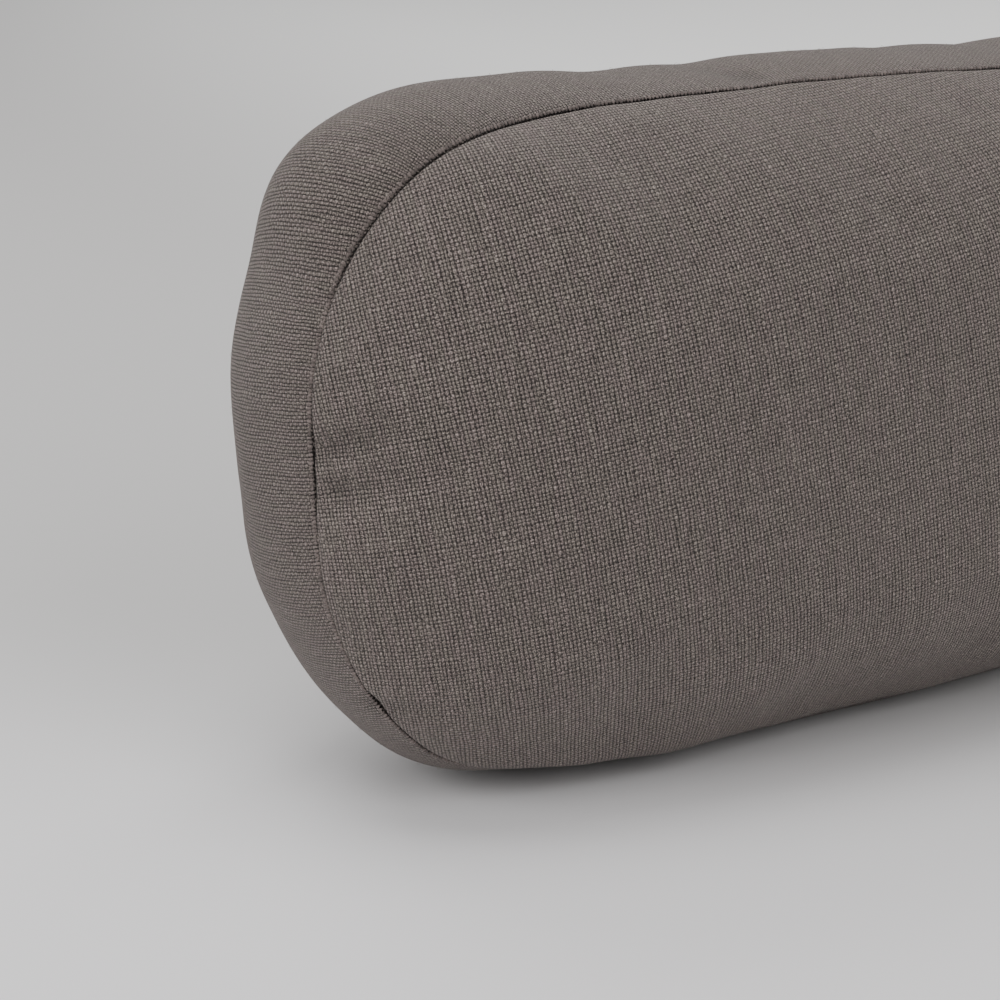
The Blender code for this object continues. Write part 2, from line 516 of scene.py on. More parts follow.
UNEVEN_FINE = 0.35  # how deep the finer unevenness is, against the soft lumps
UNEVEN_FINE_SIZE = 0.010


def rolled(points, turn, away):
    """Lets the front panel roll out over its seam, where the filling has sunk."""
    x, _, normal_x, normal_z = outline(turn)
    share = away / ROLL_REACH
    roll = read_off(STRETCHES, "roll", turn) * share * np.exp((1 - share**2) / 2)
    roll = np.where((points[:, 1] < 0) & (away > 0), roll, 0.0)
    return points + roll[:, None] * np.stack([normal_x, np.zeros_like(x), normal_z], axis=1)


def creased(points, normals):
    """Presses the CREASES into the cloth."""
    for crease in CREASES:
        start, end = np.array(crease.start), np.array(crease.end)
        line = end - start
        along = np.clip((points - start) @ line / (line @ line), 0.0, 1.0)
        gap = np.linalg.norm(points - start - along[:, None] * line, axis=1)
        depth = crease.depth * (1 - along) ** CREASE_FADE * np.exp(-((gap / crease.width) ** 2))
        points = points - depth[:, None] * normals
    return points


def hollowed(points, normals):
    """Dents the cloth by the HOLLOWS."""
    for hollow in HOLLOWS:
        gap = (points - np.array(hollow.centre)) / np.array(hollow.reach)
        points = points - hollow.depth * np.exp(-(gap**2).sum(axis=1))[:, None] * normals
    return points


def lumpy(points, size):
    """A smooth random number at each point, in lumps of this size."""
    return np.array([noise.noise(Vector(point) / size) for point in points])


def uneven(points, normals):
    """Soft lumps of the filling, and a finer unevenness of the cloth over it."""
    lumps = lumpy(points, UNEVEN_SIZE) + UNEVEN_FINE * lumpy(points, UNEVEN_FINE_SIZE)
    return points + UNEVEN_DEPTH * lumps[:, None] * normals


def seam_pull(points, turn):
    """How hard each point's seam is drawn in, a little more in some places than in others."""
    own = np.where(points[:, 1] < 0, read_off(STRETCHES, "pull", turn), BACK_PULL)
    return own * (1.0 + PULL_STRAY * lumpy(points, PULL_STRAY_SIZE))


def seamed(points, normals, pull, away):
    """Draws the cloth in along the seams, in a sharp line."""
    return points - SEAM_DEPTH * (pull * np.exp(-((away / SEAM_WIDTH) ** 2)))[:, None] * normals


def on_floor(points):
    """Presses what lies below the floor flat on it."""
    points = points.copy()
    points[:, 2] = np.maximum(points[:, 2], 0.0)
    return points


away = values_of(cover.data, "seam_distance")
turn = values_of(cover.data, "turn")
points = rolled(points_of(cover.data), turn, away)
points[:, 1] += (cad_low.y + cad_high.y) / 2 - (points[:, 1].min() + points[:, 1].max()) / 2
put_points(cover.data, points)
points, normals = points_of(cover.data), normals_of(cover.data)
points = uneven(hollowed(points, normals), normals)
pull = seam_pull(points, turn)
keep_values(cover.data, "seam_pull", pull)
put_points(cover.data, on_floor(seamed(points, normals, pull, away)))

# Each piece of cloth is flattened as its maker would cut it, at its real size, and turned so that
# its yarns run as they do on the pillow: U along the weft and V along the warp, in metres.
PANEL_GRAIN = math.radians(10.0)
BAND_TIGHT = (1.15, 1.4)  # how much closer the band's yarns lie, along it and across it
EASING_STEPS = 800
UV_NAME = "cut_pattern"

# How far the band's yarns turn against the band, which is eased round the corners.
Grain = namedtuple("Grain", "turn angle")
GRAINS = (
    Grain(turn=0, angle=0.0),
    Grain(turn=90, angle=2.0),
    Grain(turn=112, angle=10.0),
    Grain(turn=138, angle=21.0),
    Grain(turn=160, angle=6.0),
    Grain(turn=180, angle=5.0),
    Grain(turn=225, angle=5.0),
    Grain(turn=270, angle=0.0),
    Grain(turn=360, angle=0.0),
)


def flatten_cloth(cover):
    """Unfolds the pieces of cloth, cut at the seams and across the band, with least stretch."""
    cover.data.uv_layers.new(name=UV_NAME)
    bpy.context.view_layer.objects.active = cover
    cover.select_set(True)
    bpy.ops.object.mode_set(mode="EDIT")
    bpy.ops.mesh.select_all(action="SELECT")
    bpy.ops.uv.unwrap(method="MINIMUM_STRETCH", fill_holes=False, margin=0.01)
    bpy.ops.object.mode_set(mode="OBJECT")
    cover.select_set(False)


def cloth_corners(mesh, piece):
    """The face corners of one piece of cloth, by number."""
    sizes = np.empty(len(mesh.polygons), int)
    mesh.polygons.foreach_get("loop_total", sizes)
    return np.flatnonzero(np.repeat(values_of(mesh, "cloth_piece") == piece, sizes))


def area_scale(mesh, piece, flat):
    """How much larger the piece of cloth is than its flattened shape."""
    pieces = values_of(mesh, "cloth_piece")
    true_area = flat_area = 0.0
    for polygon in mesh.polygons:
        if pieces[polygon.index] != piece:
            continue
        corners = flat[list(polygon.loop_indices)]
        after = np.roll(corners, -1, axis=0)
        flat_area += abs((corners[:, 0] * after[:, 1] - corners[:, 1] * after[:, 0]).sum()) / 2
        true_area += polygon.area
    return math.sqrt(true_area / flat_area)


def turned_to(flat, target):
    """Turns the flat shape so that it lies as the target does."""
    flat = flat - flat.mean(axis=0)
    target = target - target.mean(axis=0)
    u, _, v = np.linalg.svd(flat.T @ target)
    return flat @ (u @ v)


def turn_by(flat, angle):
    turned_axes = [[math.cos(angle), math.sin(angle)], [-math.sin(angle), math.cos(angle)]]
    return flat @ np.array(turned_axes)


def eased_round(strip, turns):
    """Lays the band's strip, which is long in its first column, along the line of its GRAINS."""
    run = np.linspace(strip[:, 0].min(), strip[:, 0].max(), EASING_STEPS)
    order = np.argsort(strip[:, 0])
    order = order[turns[order] > 0]  # the strip is cut at turn 0
    angle = np.radians(read_off(GRAINS, "angle", np.interp(run, strip[order, 0], turns[order])))
    along = np.cumsum(np.cos(angle)) * (run[1] - run[0])
    aside = np.cumsum(np.sin(angle)) * (run[1] - run[0])
    own = np.interp(strip[:, 0], run, angle)
    return np.stack(
        [
            np.interp(strip[:, 0], run, along) - strip[:, 1] * np.sin(own),
            np.interp(strip[:, 0], run, aside) + strip[:, 1] * np.cos(own),
        ],
        axis=1,
    )


flatten_cloth(cover)
mesh = cover.data
uv = mesh.uv_layers[UV_NAME].data
flat = np.empty(len(mesh.loops) * 2)
uv.foreach_get("uv", flat)
flat = flat.reshape(-1, 2)
corner_points = np.array([loop.vertex_index for loop in mesh.loops])
for piece in (FRONT_PANEL, BAND, BACK_PANEL):
    corners = cloth_corners(mesh, piece)
    places = points_of(mesh)[corner_points[corners]]
    shape = flat[corners] * area_scale(mesh, piece, flat)
    if piece == BAND:
        size = shape.max(axis=0) - shape.min(axis=0)
        if size[1] > size[0]:
            shape = shape[:, ::-1]
        shape = shape - shape.mean(axis=0)
        turns = turn[corner_points[corners]]
        shape[:, 0] *= np.sign(shape[:, 0] @ (turns - turns.mean()))
        shape[:, 1] *= np.sign(shape[:, 1] @ places[:, 1])
        flat[corners] = eased_round(shape, turns) * BAND_TIGHT
    else:
        mirrored = (1.0 if piece == FRONT_PANEL else -1.0, 1.0)
        shape = turned_to(shape, places[:, [0, 2]] * mirrored)
        flat[corners] = turn_by(shape, -PANEL_GRAIN)
uv.foreach_set("uv", flat.ravel())

# The cloth is divided once more, and the creases are pressed into the finer mesh.
coarse_points, coarse_normals = points_of(cover.data), normals_of(cover.data)
cover.data.shade_smooth()
smooth = cover.modifiers.new("smooth", "SUBSURF")
smooth.levels = 1
smooth.render_levels = 1
graph = bpy.context.evaluated_depsgraph_get()
cover.data = bpy.data.meshes.new_from_object(cover.evaluated_get(graph))
cover.modifiers.clear()
points, normals = points_of(cover.data), normals_of(cover.data)
folded = creased(points, normals)
# How deep each point is pressed into a fold is kept, for the painted shade in the folds.
keep_values(cover.data, "fold_depth", ((points - folded) * normals).sum(axis=1))
put_points(cover.data, on_floor(folded))

# The linen is a plain weave of uneven yarns, about ten to the centimetre each way, with slubs:
# lengths where a yarn is thicker and lighter. The gaps between the yarns, and the yarns' lower
# sides, are painted dark: painted shade, where light does not reach in.
YARNS_PER_METRE = 1000.0
LINEN_COLOUR = (0.142, 0.1155, 0.107, 1.0)
GREYER_LINEN = (0.139, 0.1185, 0.105, 1.0)
HUE_PATCHES = (420.0, 90.0)  # to the metre, across and along
HUE_EDGES = (0.35, 0.65)
# Painted shade: the near-black painted into the gaps of the weave and along the seams.
PAINTED_SHADE_COLOUR = (0.010, 0.007, 0.006, 1.0)

# Sizes are in yarns: half a yarn's width, how far it weaves up and down, how round it is, and
# how much lighter it is painted: painted light on the warp and painted shade on the weft, for how
# light from above falls on each. The warp lies higher, so its crossings show as plump upright
# grains.
Yarn = namedtuple("Yarn", "half_width swing body light seed")
WARP = Yarn(half_width=0.40, swing=0.62, body=0.85, light=0.08, seed=11.0)
WEFT = Yarn(half_width=0.50, swing=0.40, body=0.75, light=-0.10, seed=83.0)
YARN_APART = 7.37  # keeps the unevenness of neighbouring yarns apart
SLANT = -0.12
TOP_HEIGHT = 1.36
HOLE_HEIGHT = 0.48
GAP_SHARPNESS = 1.7
WEAVE_DEPTH = 0.0005

# Unevenness. Each _RUN is how often it changes along a yarn, for a length of one yarn's spacing.
WANDER = 0.77
WANDER_RUN = 0.09
WANDER_SHARED = 0.45
THICK_AND_THIN = 0.28
THICK_RUN = 0.22
SLUB_EDGES = (0.66, 0.78)
SLUB_RUN = 0.03
SLUB_PLUMP = 0.08
SLUB_LIGHT = 0.14
TONE_SWING = 0.6
TONE_RUN = 0.35
FIBRE = 6.0
FIBRE_RUN = 3.1
FIBRE_ACROSS = 1.7
SPECK = 0.22
TONE_CONTRAST = 0.9
TONE_BASE = 0.80

# Painted light and shade in the cloth's colour: the painted shade of the gaps is less between the
# band's tight yarns, and less again on cloth that faces up, as painted light from above; the
# cloth is painted darker in a fold and along the seam.
BAND_LIFT = 0.09
TOP_LIGHT = 0.2
TOP_FACING = 0.75
FOLD_SHADE = 0.45
FULL_FOLD = 0.0014
SEAM_SHADE = 0.0010
LEAST_SHADE = 0.00002
RAGGED_SEAM = 0.0004


class Wiring:
    """Short ways to add and join the nodes of one tree.

    Values for several sockets are given in their order, or in a dict by name or number.
    """

    def __init__(self, tree):
        self.tree = tree

    def feed(self, value, socket):
        if isinstance(value, bpy.types.NodeSocket):
            self.tree.links.new(value, socket)
        else:
            socket.default_value = value

    def feed_all(self, values, sockets):
        if not isinstance(values, dict):
            values = dict(enumerate(values))
        for name, value in values.items():
            self.feed(value, sockets[name])

    def node(self, kind, values=(), **settings):
        made = self.tree.nodes.new(kind)
        for name, value in settings.items():
            setattr(made, name, value)
        self.feed_all(values, made.inputs)
        return made

    def math(self, operation, *values, clamp=False):
        made = self.node("ShaderNodeMath", values, operation=operation, use_clamp=clamp)
        return made.outputs[0]

    def ramp(self, value, low, high, bottom=0.0, top=1.0):
        given = (value, low, high, bottom, top)
        made = self.node("ShaderNodeMapRange", given, interpolation_type="SMOOTHSTEP", clamp=True)
        return made.outputs[0]

    def joined(self, *values):
        return self.node("ShaderNodeCombineXYZ", values).outputs[0]

    def parts(self, vector):
        return self.node("ShaderNodeSeparateXYZ", (vector,)).outputs

    def scaled(self, vector, factor):
        given = {0: vector, "Scale": factor}
        return self.node("ShaderNodeVectorMath", given, operation="SCALE").outputs[0]

    def noise(self, x, y, detail=1.0):
        given = {"Vector": self.joined(x, y), "Scale": 1.0, "Detail": detail}
        return self.node("ShaderNodeTexNoise", given, noise_dimensions="2D").outputs[0]

    def mix(self, share, first, second):
        given = {0: share, 6: first, 7: second}
        return self.node("ShaderNodeMix", given, data_type="RGBA").outputs[2]

    def kept(self, name):
        """The number that the mesh keeps under this name."""
        return self.node("ShaderNodeAttribute", attribute_name=name).outputs["Fac"]

    def raised(self, height, distance, shader):
        """Raises the shader's surface by a height of 0 to 1, which stands for this distance."""
        made = self.node("ShaderNodeBump", {"Distance": distance, "Height": height})
        self.feed(made.outputs[0], shader.inputs["Normal"])


def shader_group(name, inputs, outputs):
    """A shader node group with these sockets, as its wiring and its two end nodes' sockets."""
    group = bpy.data.node_groups.new(name, "ShaderNodeTree")
    for in_out, sockets in (("INPUT", inputs), ("OUTPUT", outputs)):
        for own_name, kind in sockets:
            group.interface.new_socket(own_name, in_out=in_out, socket_type="NodeSocket" + kind)
    w = Wiring(group)
    return w, w.node("NodeGroupInput").outputs, w.node("NodeGroupOutput").inputs


def plain_weave():
    """A group that weaves two sets of yarns over the places along weft and warp, in yarns."""
    w, given, put = shader_group(
        "plain_weave",
        (("Weft place", "Float"), ("Warp place", "Float"), ("Warp lift", "Float")),
        (("Height", "Float"), ("Painted gap shade", "Float"), ("Tone", "Float"), ("Slub", "Float")),
    )
    u_in, v_in, lift = given["Weft place"], given["Warp place"], given["Warp lift"]

    def wandered(along, across, seed):
        """Shifts a yarn sideways a little as it runs."""
        own = w.math("MULTIPLY_ADD", across, WANDER_SHARED, seed)
        shift = w.noise(own, w.math("MULTIPLY", along, WANDER_RUN))
        return w.math("MULTIPLY_ADD", w.math("SUBTRACT", shift, 0.5), WANDER, across)

    u = wandered(v_in, u_in, 3.1)
    v = wandered(u_in, v_in, 47.3)
    column = w.math("FLOOR", u)
    row = w.math("FLOOR", v)
    in_u = w.math("SUBTRACT", w.math("SUBTRACT", u, column), 0.5)
    in_v = w.math("SUBTRACT", w.math("SUBTRACT", v, row), 0.5)
    odd = w.math("FLOORED_MODULO", w.math("ADD", column, row), 2.0)
    over = w.math("SUBTRACT", 1.0, w.math("MULTIPLY", odd, 2.0))

    def yarn(kind, number, along, across, in_along, over, lift):
        """One yarn's height, tone and slub. It runs over the other set where `over` is 1."""
        own = w.math("MULTIPLY_ADD", number, YARN_APART, kind.seed)

        def unevenness(start, run, detail):
            return w.noise(start, w.math("MULTIPLY", along, run), detail=detail)

        thick = w.math("SUBTRACT", unevenness(own, THICK_RUN, 2.0), 0.5)
        slub = w.ramp(unevenness(w.math("ADD", own, 5.0), SLUB_RUN, 1.0), *SLUB_EDGES)
        width = w.math("MULTIPLY_ADD", thick, THICK_AND_THIN, kind.half_width)
        width = w.math("MULTIPLY_ADD", slub, SLUB_PLUMP, width)
        share = w.math("DIVIDE", w.math("MULTIPLY_ADD", in_along, SLANT, across), width)
        round_top = w.math("SUBTRACT", 1.0, w.math("MULTIPLY", share, share))
        rise = w.math("MULTIPLY", w.math("SQRT", w.math("MAXIMUM", round_top, 0.0)), kind.body)
        wave = w.math("MULTIPLY", w.math("COSINE", w.math("MULTIPLY", in_along, math.pi)), over)
        height = w.math("ADD", w.math("MULTIPLY_ADD", wave, kind.swing, rise), lift)
        height = w.math("MAXIMUM", height, 0.0)
        height = w.math("MULTIPLY", height, w.math("GREATER_THAN", round_top, 0.0))
        fibres = unevenness(w.math("MULTIPLY_ADD", share, FIBRE_ACROSS, own), FIBRE_RUN, 1.0)
        tone = w.math("SUBTRACT", unevenness(own, TONE_RUN, 3.0), 0.5)
        tone = w.math("MULTIPLY_ADD", tone, TONE_SWING, 0.5)
        tone = w.math("MULTIPLY_ADD", w.math("SUBTRACT", fibres, 0.5), FIBRE, tone)
        # The tone carries the yarn's painted light (warp) and painted shade (weft).
        return height, w.math("ADD", tone, kind.light), slub

    warp = yarn(WARP, column, v, in_u, in_v, over, lift)
    under, lowered = w.math("MULTIPLY", over, -1.0), w.math("MULTIPLY", lift, -1.0)
    weft = yarn(WEFT, row, u, in_v, in_u, under, lowered)
    height = w.math("MAXIMUM", warp[0], weft[0])
    warp_on_top = w.math("GREATER_THAN", warp[0], weft[0])

    def seen(of_warp, of_weft):
        given = {0: warp_on_top, 2: of_weft, 3: of_warp}
        return w.node("ShaderNodeMix", given, data_type="FLOAT").outputs[0]

    crossing = {"Vector": w.joined(column, row)}
    speck = w.node("ShaderNodeTexWhiteNoise", crossing, noise_dimensions="2D").outputs[0]
    own_tone = w.math("MULTIPLY_ADD", speck, SPECK, -SPECK / 2)
    # The gap mask is painted shade: the weave is painted darker from the yarns' tops down to the
    # holes between them.
    woven = {
        "Height": w.math("DIVIDE", height, TOP_HEIGHT),
        "Painted gap shade": w.math("POWER", w.ramp(height, TOP_HEIGHT, HOLE_HEIGHT), GAP_SHARPNESS),
        "Tone": w.math("ADD", seen(warp[1], weft[1]), own_tone),
        "Slub": seen(warp[2], weft[2]),
    }
    w.feed_all(woven, put)
    return w.tree


def new_material(name):
    """A material, its wiring and its shader."""
    material = bpy.data.materials.new(name)
    material.use_nodes = True
    return material, Wiring(material.node_tree), material.node_tree.nodes["Principled BSDF"]


# The dry surface of linen, with the faint sheen of its fibres.
MATT_FINISH = {
    "Roughness": 0.85,
    "Specular IOR Level": 0.25,
    "Sheen Weight": 0.25,
    "Sheen Roughness": 0.4,
}
SHEEN_TINT = (0.8, 0.75, 0.72, 1.0)


def linen_material():
    material, w, shader = new_material("linen")
    place = w.parts(w.node("ShaderNodeUVMap", uv_map=UV_NAME).outputs[0])
    off_band = w.math("ABSOLUTE", w.math("SUBTRACT", w.kept("cloth_piece"), float(BAND)))
    on_band = w.math("SUBTRACT", 1.0, off_band, clamp=True)
    laid = {
        "Weft place": w.math("MULTIPLY", place[0], YARNS_PER_METRE),
        "Warp place": w.math("MULTIPLY", place[1], YARNS_PER_METRE),
        "Warp lift": w.math("MULTIPLY", on_band, BAND_LIFT),
    }
    weave = w.node("ShaderNodeGroup", laid, node_tree=plain_weave())

    tone = w.math("MULTIPLY_ADD", weave.outputs["Tone"], TONE_CONTRAST, TONE_BASE)
    tone = w.math("MULTIPLY_ADD", weave.outputs["Slub"], SLUB_LIGHT, tone)
    hue = w.noise(*(w.math("MULTIPLY", place[k], HUE_PATCHES[k]) for k in (0, 1)))
    yarn = w.scaled(w.mix(w.ramp(hue, *HUE_EDGES), LINEN_COLOUR, GREYER_LINEN), tone)
    # Painted light: where the cloth faces up, its gaps are painted less dark, as if light from
    # above fell into them.
    facing = w.parts(w.node("ShaderNodeNewGeometry").outputs["Normal"])
    painted_top_light = w.ramp(facing[2], TOP_FACING, 1.0, 1.0, 1.0 - TOP_LIGHT)
    gap = w.math("MULTIPLY", weave.outputs["Painted gap shade"], painted_top_light)
    # Painted shade: the cloth is painted darker in a fold, the deeper the fold the darker.
    fold = w.math("DIVIDE", w.kept("fold_depth"), FULL_FOLD)
    folded = w.math("MULTIPLY_ADD", fold, -FOLD_SHADE, 1.0)
    cloth = w.scaled(w.mix(gap, yarn, PAINTED_SHADE_COLOUR), folded)

    # Painted shade: a dark line is painted along each seam, wider where the seam is pulled
    # harder, with an edge made ragged by the weave.
    away = w.math("ABSOLUTE", w.kept("seam_distance"))
    ragged = w.math("MULTIPLY_ADD", weave.outputs["Height"], RAGGED_SEAM, away)
    reach = w.math("MULTIPLY_ADD", w.kept("seam_pull"), SEAM_SHADE, LEAST_SHADE)
    in_seam = w.ramp(w.math("DIVIDE", ragged, reach), 1.0, 0.5)
    w.feed(w.mix(in_seam, cloth, PAINTED_SHADE_COLOUR), shader.inputs["Base Color"])
    w.raised(weave.outputs["Height"], WEAVE_DEPTH, shader)
    w.feed_all(MATT_FINISH, shader.inputs)
    w.feed(SHEEN_TINT, shader.inputs["Sheen Tint"])
    return material


cover.data.materials.append(linen_material())
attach(cover, "root")
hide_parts("pillow")

# ---------------------------------------------------------------------------------------------
# Yarn ends. Beside each seam the band's yarns turn in under the stitches, and stand up there as
# a row of small plump ends, about a millimetre apart. They are the same linen as the cover.

END_AWAY = SEAM_STEPS[2]  # how far from the seam they lie
CLEAR_OF_FLOOR = 0.0015
YARN_ENDS = {
    "Pitch": 0.00105,
    "Length": 0.0013,
    "Width": 0.0008,
    "Height": 0.0004,
    "Tilt": math.radians(14.0),
    "Smallest": 0.75,
    "Largest": 1.2,
    "Seed": 5,
}
END_TONES = (0.7, 1.25)


def seam_lips(points, normals, turn, away):
    """The two lines on the band where the ends lie, as one mesh of edges.

    Each point keeps the ways out of the cloth and across the seam.
    """
    places, outs, acrosses, edges = [], [], [], []
    for front in (True, False):
        own = (points[:, 1] < 0) == front
        lip = np.flatnonzero(own & np.isclose(away, -END_AWAY, atol=1e-7))
        seam = np.flatnonzero(own & (away == 0))
        lip, seam = lip[np.argsort(turn[lip])], seam[np.argsort(turn[seam])]
        clear = points[lip, 2] > CLEAR_OF_FLOOR
        start = len(places)
        places.extend(points[lip])
        outs.extend(normals[lip])
        acrosses.extend(points[lip] - points[seam])
        for k in range(len(lip)):
            after = (k + 1) % len(lip)
            if clear[k] and clear[after]:
                edges.append((start + k, start + after))
    mesh = bpy.data.meshes.new("seam_lips")
    mesh.from_pydata([tuple(place) for place in places], edges, [])
    for name, values in (("out", outs), ("across", acrosses)):
        kept = mesh.attributes.new(name, "FLOAT_VECTOR", "POINT")
        kept.data.foreach_set("vector", np.array(values).ravel())
    return mesh


def node_tree(name, values):
    """A geometry tree with an input for each named value, as its wiring and its end sockets."""
    tree = bpy.data.node_groups.new(name, "GeometryNodeTree")
    tree.interface.new_socket("Geometry", in_out="INPUT", socket_type="NodeSocketGeometry")
    for own_name, value in values.items():
        kind = "NodeSocketInt" if isinstance(value, int) else "NodeSocketFloat"
        tree.interface.new_socket(own_name, in_out="INPUT", socket_type=kind)
    tree.interface.new_socket("Geometry", in_out="OUTPUT", socket_type="NodeSocketGeometry")
    w = Wiring(tree)
    return w, w.node("NodeGroupInput").outputs, w.node("NodeGroupOutput").inputs


def any_value(w, low, high, given, draw):
    """A number between low and high, its own for each instance and each draw."""
    drawn = {2: low, 3: high, "Seed": w.math("ADD", given["Seed"], draw)}
    return w.node("FunctionNodeRandomValue", drawn, data_type="FLOAT").outputs[1]


def turned_in_place(w, rotation, x, y, z):
    """The rotation after a further turn about the instance's own axes."""
    by = w.node("FunctionNodeEulerToRotation", (w.joined(x, y, z),)).outputs[0]
    return w.node("FunctionNodeRotateRotation", (rotation, by), rotation_space="LOCAL").outputs[0]


def finish_tree(w, instances, tone, material, put):
    """Sets the instances, keeps each one's tone, and ends in plain faces of one material."""
    toned = {
        "Geometry": w.node("GeometryNodeInstanceOnPoints", instances).outputs[0],
        "Name": "tone",
        "Value": tone,
    }
    kept = w.node(
        "GeometryNodeStoreNamedAttribute", toned, data_type="FLOAT", domain="INSTANCE"
    )
    real = w.node("GeometryNodeRealizeInstances", (kept.outputs[0],))
    faces = {"Geometry": real.outputs[0], "Material": material}
    w.feed(w.node("GeometryNodeSetMaterial", faces).outputs[0], put[0])


def yarn_ends_tree(material):
    w, given, put = node_tree("yarn_ends", YARN_ENDS)
    line = w.node("GeometryNodeMeshToCurve", (given["Geometry"],))
    spacing = {"Curve": line.outputs[0], "Length": given["Pitch"]}
    spaced = w.node("GeometryNodeResampleCurve", spacing, mode="LENGTH")
    rotation = None
    for name, axis, pivot in (("out", "Z", "AUTO"), ("across", "X", "Z")):
        way = w.node("GeometryNodeInputNamedAttribute", {"Name": name}, data_type="FLOAT_VECTOR")
        laid = {"Vector": way.outputs[0]}
        if rotation:
            laid["Rotation"] = rotation
        aligned = w.node("FunctionNodeAlignRotationToVector", laid, axis=axis, pivot_axis=pivot)
        rotation = aligned.outputs[0]
    tilt = any_value(w, w.math("MULTIPLY", given["Tilt"], -1.0), given["Tilt"], given, 0.0)
    plump = w.node("GeometryNodeMeshUVSphere", {"Segments": 8, "Rings": 5, "Radius": 0.5})
    smooth = w.node("GeometryNodeSetShadeSmooth", {"Geometry": plump.outputs[0]})
    larger = any_value(w, given["Smallest"], given["Largest"], given, 1.0)
    ends = {
        "Points": spaced.outputs[0],
        "Instance": smooth.outputs[0],
        "Rotation": turned_in_place(w, rotation, 0.0, 0.0, tilt),
        "Scale": w.scaled(w.joined(given["Length"], given["Width"], given["Height"]), larger),
    }
    finish_tree(w, ends, any_value(w, *END_TONES, given, 2.0), material, put)
    return w.tree


STREAK_DEPTH = 0.0001
STREAK_EDGES = (0.3, 0.7)
STREAK_TONES = (0.65, 1.3)


def fibre_streaks():
    """A group that gives each piece of yarn its own tone, with a fine streak of fibres."""
    w, given, put = shader_group(
        "fibre_streaks",
        (("Colour", "Color"), ("Streaks to the metre", "Float")),
        (("Colour", "Color"), ("Height", "Float")),
    )
    run = {
        "Vector": w.node("ShaderNodeTexCoord").outputs["Object"],
        "Scale": given["Streaks to the metre"],
        "Detail": 2.0,
    }
    fibres = w.node("ShaderNodeTexNoise", run).outputs[0]
    streak = w.ramp(fibres, *STREAK_EDGES, *STREAK_TONES)
    w.feed(w.scaled(given["Colour"], w.math("MULTIPLY", w.kept("tone"), streak)), put["Colour"])
    w.feed(fibres, put["Height"])
    return w.tree


def yarn_material(name, colour, streaks, group):
    """Bare linen yarn, streaked by the group."""
    material, w, shader = new_material(name)
    given = {"Colour": colour, "Streaks to the metre": streaks}
    streaked = w.node("ShaderNodeGroup", given, node_tree=group).outputs
    w.feed(streaked["Colour"], shader.inputs["Base Color"])
    w.raised(streaked["Height"], STREAK_DEPTH, shader)
    w.feed_all(MATT_FINISH, shader.inputs)
    return material


def grown(name, base, tree, values):
    """A piece made by running a node tree on a mesh, kept as a plain mesh."""
    piece = placed(name, base)
    modifier = piece.modifiers.new(tree.name, "NODES")
    modifier.node_group = tree
    for item in tree.interface.items_tree:
        if item.in_out == "INPUT" and item.name in values:
            modifier[item.identifier] = values[item.name]
    graph = bpy.context.evaluated_depsgraph_get()
    piece.data = bpy.data.meshes.new_from_object(piece.evaluated_get(graph))
    piece.modifiers.clear()
    return piece


lips = seam_lips(creased(coarse_points, coarse_normals), coarse_normals, turn, away)
streaks = fibre_streaks()
end_material = yarn_material("linen_yarn_ends", LINEN_COLOUR, 4000.0, streaks)
yarn_ends = grown("seam_yarn_ends", lips, yarn_ends_tree(end_material), YARN_ENDS)
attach(yarn_ends, "root")

# ---------------------------------------------------------------------------------------------
# Loose fibres. Linen sheds a little fuzz: short fibres that have worked out of the yarns, lie
# over the weave, and stand out as fine hairs along the pillow's edges.

FUZZ = {
    "Density": 16000.0,  # fibres to the square metre
    "Length": 0.0011,
    "Radius": 0.00003,
    "Smallest": 0.4,
    "Largest": 1.2,
    "Tilt": math.radians(25.0),
    "Lowest": CLEAR_OF_FLOOR,
    "Seed": 3,
}
FUZZ_TONES = (0.7, 1.2)
FUZZ_COLOUR = (0.24, 0.205, 0.19, 1.0)

# One fibre's bend, as shares of its length: it leaves the cloth, arches over and comes down.
FUZZ_START = (-0.4, 0.0, -0.1)
FUZZ_MIDDLE = (0.05, 0.1, 0.6)
FUZZ_END = (0.5, -0.1, 0.12)


def fuzz_tree(material):
    w, given, put = node_tree("loose_fibres", FUZZ)
    height = w.parts(w.node("GeometryNodeInputPosition").outputs[0])[2]
    sown = {
        "Mesh": given["Geometry"],
        "Selection": w.math("GREATER_THAN", height, given["Lowest"]),
        "Density": given["Density"],
        "Seed": given["Seed"],
    }
    spread = w.node("GeometryNodeDistributePointsOnFaces", sown, distribute_method="RANDOM")
    bend = {"Start": FUZZ_START, "Middle": FUZZ_MIDDLE, "End": FUZZ_END}
    bend = {name: w.scaled(shape, given["Length"]) for name, shape in bend.items()}
    bent = w.node("GeometryNodeCurveQuadraticBezier", {"Resolution": 5, **bend})
    round_hair = {"Resolution": 3, "Radius": given["Radius"]}
    ring = w.node("GeometryNodeCurvePrimitiveCircle", round_hair)
    drawn = {"Curve": bent.outputs[0], "Profile Curve": ring.outputs[0], "Fill Caps": True}
    least = w.math("MULTIPLY", given["Tilt"], -1.0)
    tilt = any_value(w, least, given["Tilt"], given, 1.0)
    spin = any_value(w, 0.0, 2 * math.pi, given, 2.0)
    spun = turned_in_place(w, spread.outputs["Rotation"], 0.0, 0.0, spin)
    hairs = {
        "Points": spread.outputs["Points"],
        "Instance": w.node("GeometryNodeCurveToMesh", drawn).outputs[0],
        "Rotation": turned_in_place(w, spun, 0.0, tilt, 0.0),
        "Scale": any_value(w, given["Smallest"], given["Largest"], given, 3.0),
    }
    finish_tree(w, hairs, any_value(w, *FUZZ_TONES, given, 4.0), material, put)
    return w.tree


fuzz_material = yarn_material("linen_fibres", FUZZ_COLOUR, 1500.0, streaks)
fibres = grown("loose_fibres", cover.data.copy(), fuzz_tree(fuzz_material), FUZZ)
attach(fibres, "root")

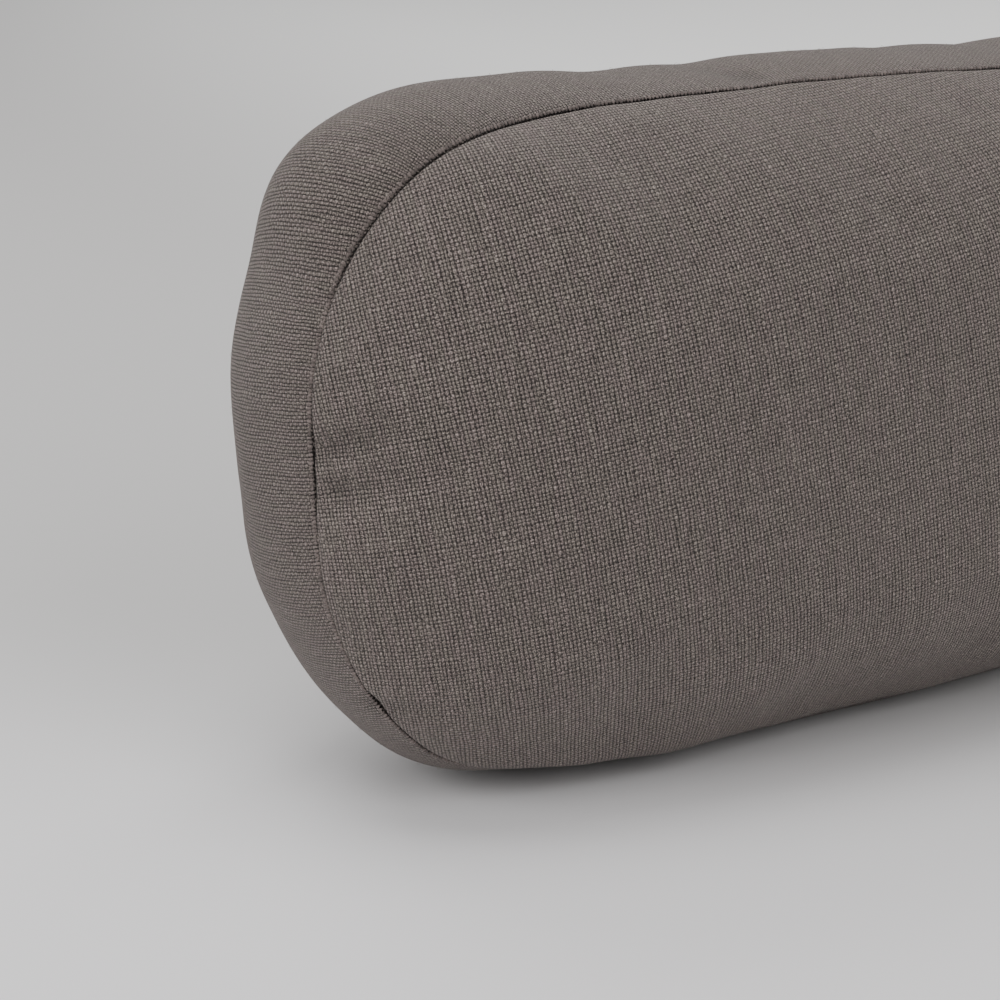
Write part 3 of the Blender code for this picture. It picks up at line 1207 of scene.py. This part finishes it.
# ---------------------------------------------------------------------------------------------
# Studio. A pale floor that runs back as its own backdrop, painted darker towards the back and
# lighter off to the right as painted shade and painted light; broad soft lights above and on
# every side, and an even light from the air.

FLOOR_HALF = 6.0
PAPER_NEAR = (0.80, 0.785, 0.795, 1.0)
PAPER_FAR_PAINTED_SHADE = (0.562, 0.552, 0.547, 1.0)
PAPER_RIGHT_PAINTED_LIGHT = (0.89, 0.885, 0.875, 1.0)
PAPER_TURN = (0.476, 0.879, 0.0)  # the way in which the painted shade deepens
PAINTED_SHADE_FADE = (-0.16, 0.08)
PAINTED_LIGHT_FADE = (0.05, 0.65)
AIR_COLOUR = (1.0, 1.0, 1.0, 1.0)
AIR_STRENGTH = 0.376

floor = placed("floor", bpy.data.meshes.new("floor"))
floor_shape = bmesh.new()
bmesh.ops.create_grid(floor_shape, x_segments=1, y_segments=1, size=FLOOR_HALF)
floor_shape.to_mesh(floor.data)
floor_shape.free()
paper, w, sheet = new_material("paper")
place = w.node("ShaderNodeTexCoord").outputs["Object"]
# Painted shade and painted light: the paper is painted darker towards the back and lighter off to
# the right, for how the studio's light falls there.
back = w.node("ShaderNodeVectorMath", (place, PAPER_TURN), operation="DOT_PRODUCT")
backdrop = w.mix(w.ramp(w.parts(place)[0], *PAINTED_LIGHT_FADE), PAPER_FAR_PAINTED_SHADE, PAPER_RIGHT_PAINTED_LIGHT)
fade = w.ramp(back.outputs["Value"], *PAINTED_SHADE_FADE)
w.feed(w.mix(fade, PAPER_NEAR, backdrop), sheet.inputs["Base Color"])
w.feed_all({"Roughness": 0.9, "Specular IOR Level": 0.2}, sheet.inputs)
floor.data.materials.append(paper)

air = bpy.data.worlds.new("air")
air.use_nodes = True
background = air.node_tree.nodes["Background"]
Wiring(air.node_tree).feed_all((AIR_COLOUR, AIR_STRENGTH), background.inputs)
bpy.context.scene.world = air

Light = namedtuple("Light", "name place aim size power")
PILLOW = (0.0, 0.0, 0.0)
LIGHTS = (
    Light("overhead", (-0.2, -0.1, 2.2), PILLOW, 1.2, 16.0),
    Light("over_left", (-0.9, 0.2, 2.0), PILLOW, 0.6, 3.2),
    Light("front_left", (-0.9, -1.1, 1.7), PILLOW, 1.2, 7.9),
    Light("front", (0.2, -1.8, 1.3), PILLOW, 1.2, 14.7),
    Light("left", (-1.8, -0.2, 1.0), PILLOW, 1.2, 16.4),
    Light("back", (-0.3, 1.3, 1.7), PILLOW, 1.2, 9.6),
    Light("backdrop", (1.7, 0.9, 1.5), (1.7, 0.9, 0.0), 0.8, 14.0),
)
for light in LIGHTS:
    lamp = placed(light.name, bpy.data.lights.new(light.name, "AREA"))
    lamp.data.shape = "DISK"
    lamp.data.size = light.size
    lamp.data.energy = light.power
    lamp.location = light.place
    back_from_aim = Vector(light.place) - Vector(light.aim)
    lamp.rotation_euler = back_from_aim.to_track_quat("Z", "Y").to_euler()
